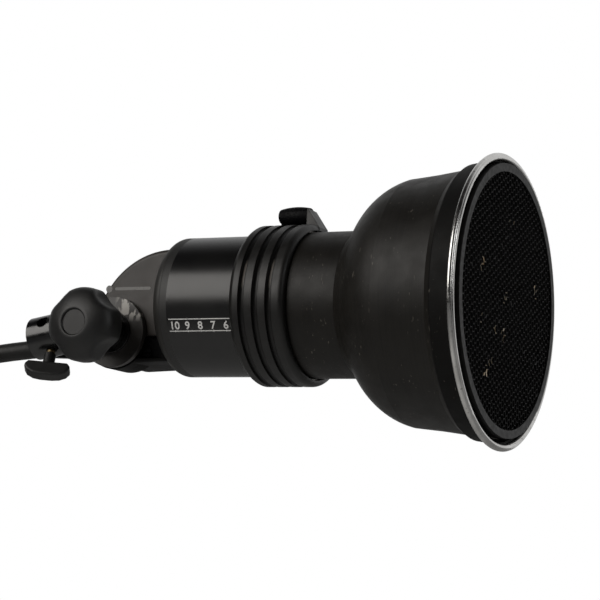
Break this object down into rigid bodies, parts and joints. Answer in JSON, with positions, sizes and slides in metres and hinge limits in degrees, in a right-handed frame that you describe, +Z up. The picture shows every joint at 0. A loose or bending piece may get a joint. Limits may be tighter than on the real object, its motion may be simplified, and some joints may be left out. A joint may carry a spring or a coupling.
{
  "type": "studio flash lamp head",
  "caption": "Fan-cooled studio flash lamp head on a tilting stand adapter, with a 100 mm body, a clamped zoom reflector, a honeycomb grid and a thick generator lead.",
  "frame": {"origin": "centre of the stand socket's mouth", "axes": "+X is the way the light fires, +Z is up, -Y is the side of the tilt knob"},
  "size_m": [0.5408, 0.2829, 0.4797],
  "materials": {
    "gloss_black_paint": "gloss",
    "casting_paint": "satin",
    "cap_paint": "satin",
    "body_paint": "satin",
    "reflector_paint": "matte",
    "grid_paint": "matte",
    "grid_cells": "matte",
    "bare_aluminium": "satin",
    "steel": "satin",
    "brass": "satin",
    "friction_fibre": "matte",
    "soft_black": "satin",
    "rubber": "matte",
    "cord_jacket": "matte",
    "tie_fabric": "matte",
    "board": "satin",
    "ceramic": "matte",
    "quartz": "gloss"
  },
  "bodies": {
    "stand_adapter": {"stand_bracket": "gloss_black_paint", "head_cable_run": "cord_jacket", "head_cable_coil": "cord_jacket", "head_cable_end": "cord_jacket", "cable_ties": "tie_fabric", "connector_boot": "rubber", "connector_body": "soft_black", "connector_insert": "soft_black", "connector_pins": "brass"},
    "head": {"tilt_stud": "steel", "friction_disc": "friction_fibre", "fairing_left": "casting_paint", "fairing_right": "casting_paint", "fairing_screws": "steel", "access_panel": "soft_black", "panel_screw": "steel", "cable_gland": "brass", "strain_relief": "rubber", "lead_stub": "cord_jacket", "head_wiring": "board", "rear_cap": "cap_paint", "body_tube": "body_paint", "fan_frame": "soft_black", "fan_standoffs": "steel", "circuit_board": "board", "trigger_coil": "board", "chassis_rods": "steel", "heat_shield": "bare_aluminium", "lamp_socket": "ceramic", "modelling_lamp": "quartz", "front_plate": "bare_aluminium", "flash_tube": "quartz", "flash_tube_terminals": "brass", "trigger_wire": "steel", "glass_dome": "quartz", "dome_ring": "ceramic"},
    "knob_washer": {"thrust_washer": "steel"},
    "tilt_knob": {"tilt_knob": "soft_black", "knob_collar": "gloss_black_paint", "knob_insert": "brass", "knob_cap": "soft_black"},
    "clamp_shoe": {"clamp_shoe": "steel"},
    "clamp_screw": {"clamp_stud": "brass", "clamp_wing": "gloss_black_paint"},
    "reflector": {"reflector_neck": "reflector_paint", "reflector_shell": "reflector_paint", "front_ring": "reflector_paint", "rim_bead": "bare_aluminium", "collar_rubber": "rubber", "collar_band": "steel", "lever_bracket": "soft_black", "lever_pin": "steel"},
    "clamp_lever": {"clamp_lever": "soft_black"},
    "grid": {"grid_frame": "grid_paint", "grid_honeycomb": "grid_cells", "grid_clips": "steel"},
    "fan": {"fan_rotor": "soft_black"},
    "plug_ring": {"connector_ring": "soft_black"}
  },
  "joints": [
    {"name": "tilt", "type": "hinge", "parent": "stand_adapter", "child": "head", "pos_m": [0.056, 0.044, 0.006], "axis": [0, -1, 0], "range_deg": [-85, 100], "deforming": ["head_cable_run"]},
    {"name": "knob_travel", "type": "slide", "parent": "head", "child": "knob_washer", "axis": [0, -1, 0], "range_m": [0, 0.00226]},
    {"name": "knob_turn", "type": "hinge", "parent": "knob_washer", "child": "tilt_knob", "pos_m": [0.056, 0.044, 0.006], "axis": [0, -1, 0], "range_deg": [0, 540]},
    {"name": "clamp_travel", "type": "slide", "parent": "stand_adapter", "child": "clamp_shoe", "axis": [0.1609, -0.4695, -0.8682], "range_m": [-0.002, 0.001]},
    {"name": "clamp_turn", "type": "hinge", "parent": "clamp_shoe", "child": "clamp_screw", "pos_m": [0.01426, 0, 0.00264], "axis": [0.1609, -0.4695, -0.8682], "range_deg": [-720, 360]},
    {"name": "zoom", "type": "slide", "parent": "head", "child": "reflector", "axis": [1, 0, 0], "range_m": [-0.044, 0.016]},
    {"name": "lever", "type": "hinge", "parent": "reflector", "child": "clamp_lever", "pos_m": [0.1766, 0.049, 0.0925], "axis": [1, 0, 0], "range_deg": [0, 110]},
    {"name": "grid_pull", "type": "slide", "parent": "reflector", "child": "grid", "axis": [1, 0, 0], "range_m": [0, 0.03]},
    {"name": "fan_spin", "type": "hinge", "parent": "head", "child": "fan", "pos_m": [0.1185, 0.044, 0.0275], "axis": [1, 0, 0], "continuous": true},
    {"name": "plug_ring_turn", "type": "hinge", "parent": "stand_adapter", "child": "plug_ring", "pos_m": [-0.16314, 0.04915, -0.326], "axis": [0, 0, 1], "range_deg": [0, 60]}
  ],
  "couplings": [
    {"joint": "knob_travel", "follows": "knob_turn", "m_per_rad": 0.00023873},
    {"joint": "clamp_travel", "follows": "clamp_turn", "m_per_rad": 0.00015915}
  ]
}
